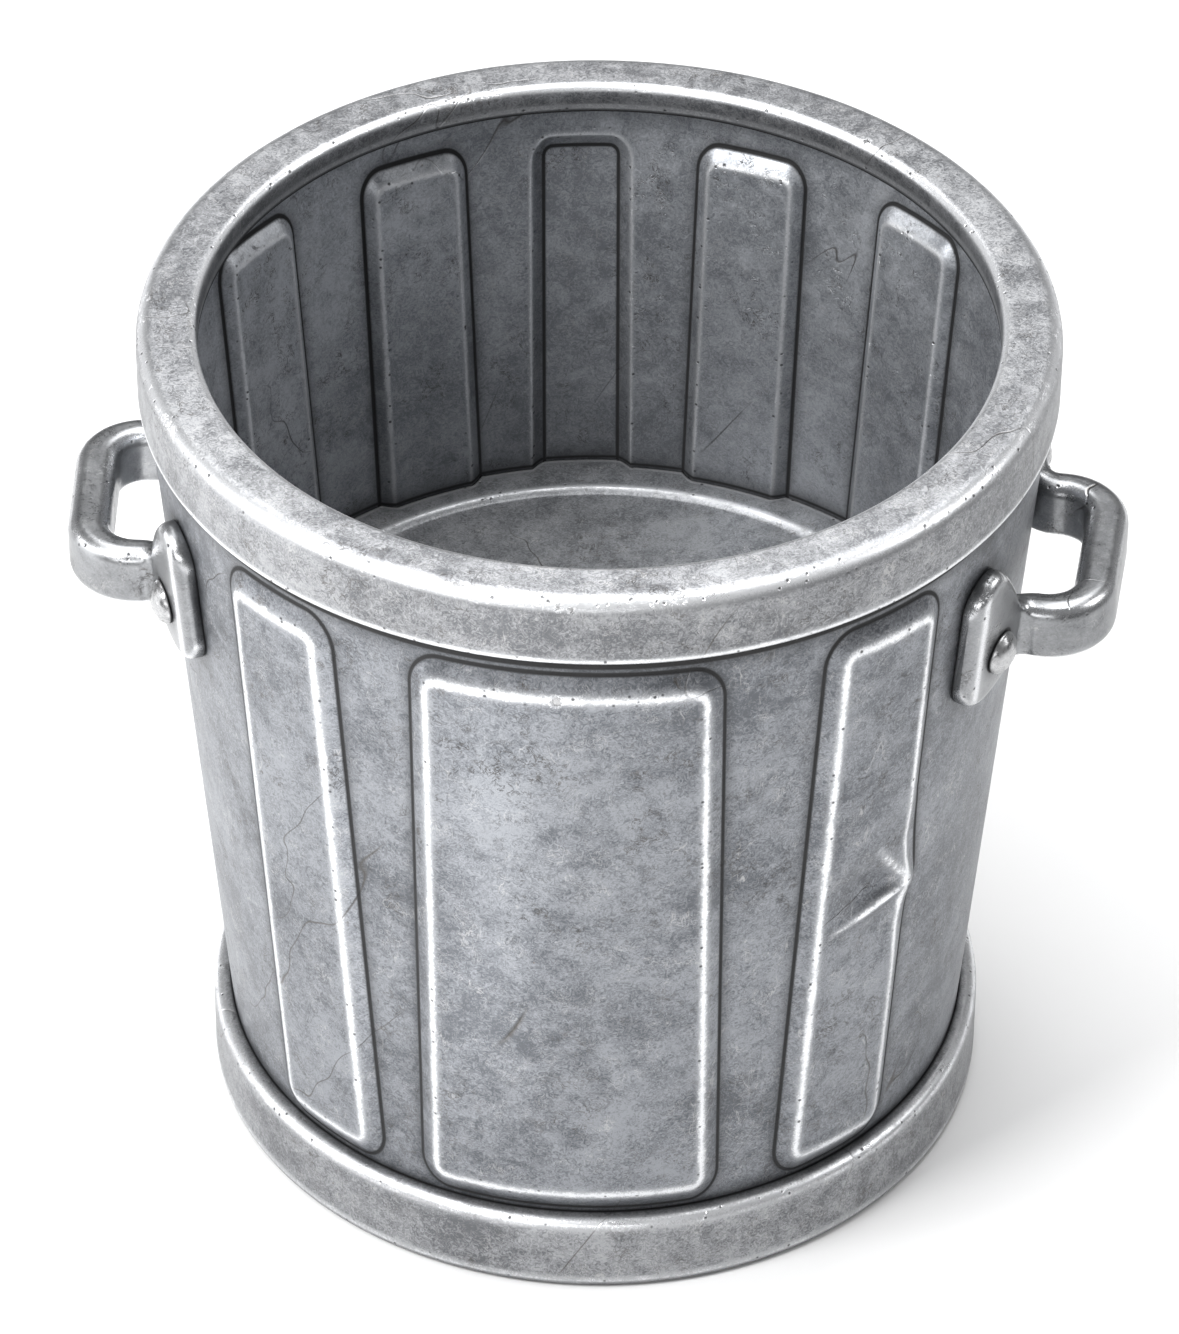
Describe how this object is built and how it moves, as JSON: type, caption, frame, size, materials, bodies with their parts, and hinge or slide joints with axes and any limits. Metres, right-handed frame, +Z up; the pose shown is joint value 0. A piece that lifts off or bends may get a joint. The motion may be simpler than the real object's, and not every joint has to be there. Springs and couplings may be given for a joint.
{
  "type": "trash can",
  "caption": "Tapered galvanized steel trash can, open at the top, with pressed wall panels, rolled rim and base hoops, a raised inner floor and riveted bar handles.",
  "frame": {"origin": "on the ground under the middle of the can", "axes": "+Z up along the can's axis, -Y towards the front with the wide pressed panel, +X to the right, nearly through the handles"},
  "size_m": [0.5824, 0.5, 0.513],
  "materials": {
    "galvanized_wall": "weathered hot-dip galvanized sheet",
    "galvanized_hoop": "worn galvanized rolled hoop",
    "galvanized_floor": "dull galvanized sheet",
    "galvanized_bar": "galvanized bar, polished by hands",
    "rivet_steel": "galvanized rivet with worn dome",
    "wire_steel": "plain steel wire"
  },
  "bodies": {
    "root": {"wall_shell": "galvanized_wall", "rim_wire": "wire_steel", "rim_hoop": "galvanized_hoop", "base_hoop": "galvanized_hoop", "bottom_pan": "galvanized_floor", "inner_floor": "galvanized_floor", "handle_left": "galvanized_bar", "handle_left_rivet_front": "rivet_steel", "handle_left_rivet_back": "rivet_steel", "handle_right": "galvanized_bar", "handle_right_rivet_front": "rivet_steel", "handle_right_rivet_back": "rivet_steel"}
  },
  "joints": []
}
